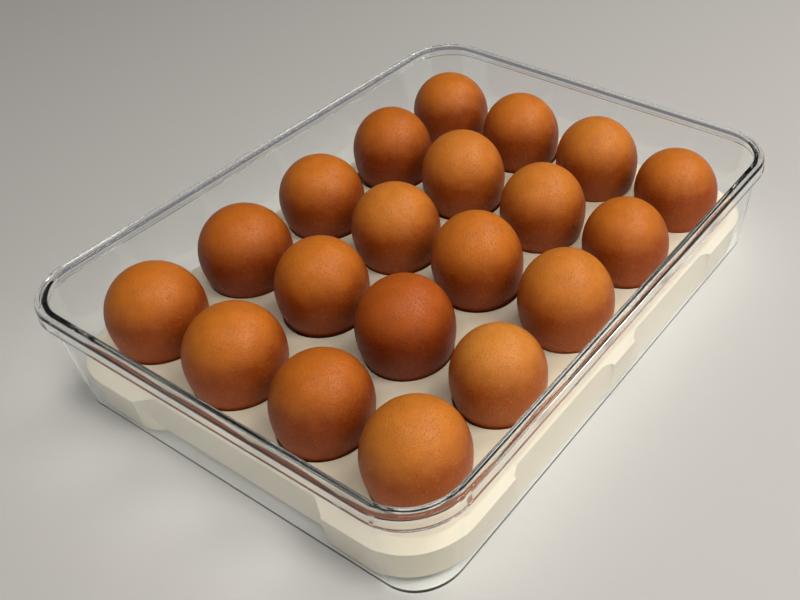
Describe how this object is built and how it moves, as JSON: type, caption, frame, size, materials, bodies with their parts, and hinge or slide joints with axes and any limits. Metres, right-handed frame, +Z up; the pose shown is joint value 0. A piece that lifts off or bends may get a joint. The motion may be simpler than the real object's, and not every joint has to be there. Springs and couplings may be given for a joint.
{
  "type": "egg storage container",
  "caption": "Open clear plastic bin with a thick rolled rim, fitted with a cream moulded tray whose round cups hold brown eggs blunt end up.",
  "frame": {"origin": "under the middle of the bin's base, on the surface it stands on", "axes": "+X across the short side of the bin, +Y along its long side, +Z up out of the open top"},
  "size_m": [0.231, 0.292, 0.0641],
  "materials": {
    "clear_plastic": "clear and glossy",
    "cream_plastic": "smooth matte",
    "eggshell": "satin, finely pored brown shell"
  },
  "bodies": {
    "root": {"bin": "clear_plastic", "tray": "cream_plastic", "egg_1_1": "eggshell", "egg_1_2": "eggshell", "egg_1_3": "eggshell", "egg_1_4": "eggshell", "egg_2_1": "eggshell", "egg_2_2": "eggshell", "egg_2_3": "eggshell", "egg_2_4": "eggshell", "egg_3_1": "eggshell", "egg_3_2": "eggshell", "egg_3_3": "eggshell", "egg_3_4": "eggshell", "egg_4_1": "eggshell", "egg_4_2": "eggshell", "egg_4_3": "eggshell", "egg_4_4": "eggshell", "egg_5_1": "eggshell", "egg_5_2": "eggshell", "egg_5_3": "eggshell", "egg_5_4": "eggshell"}
  },
  "joints": []
}
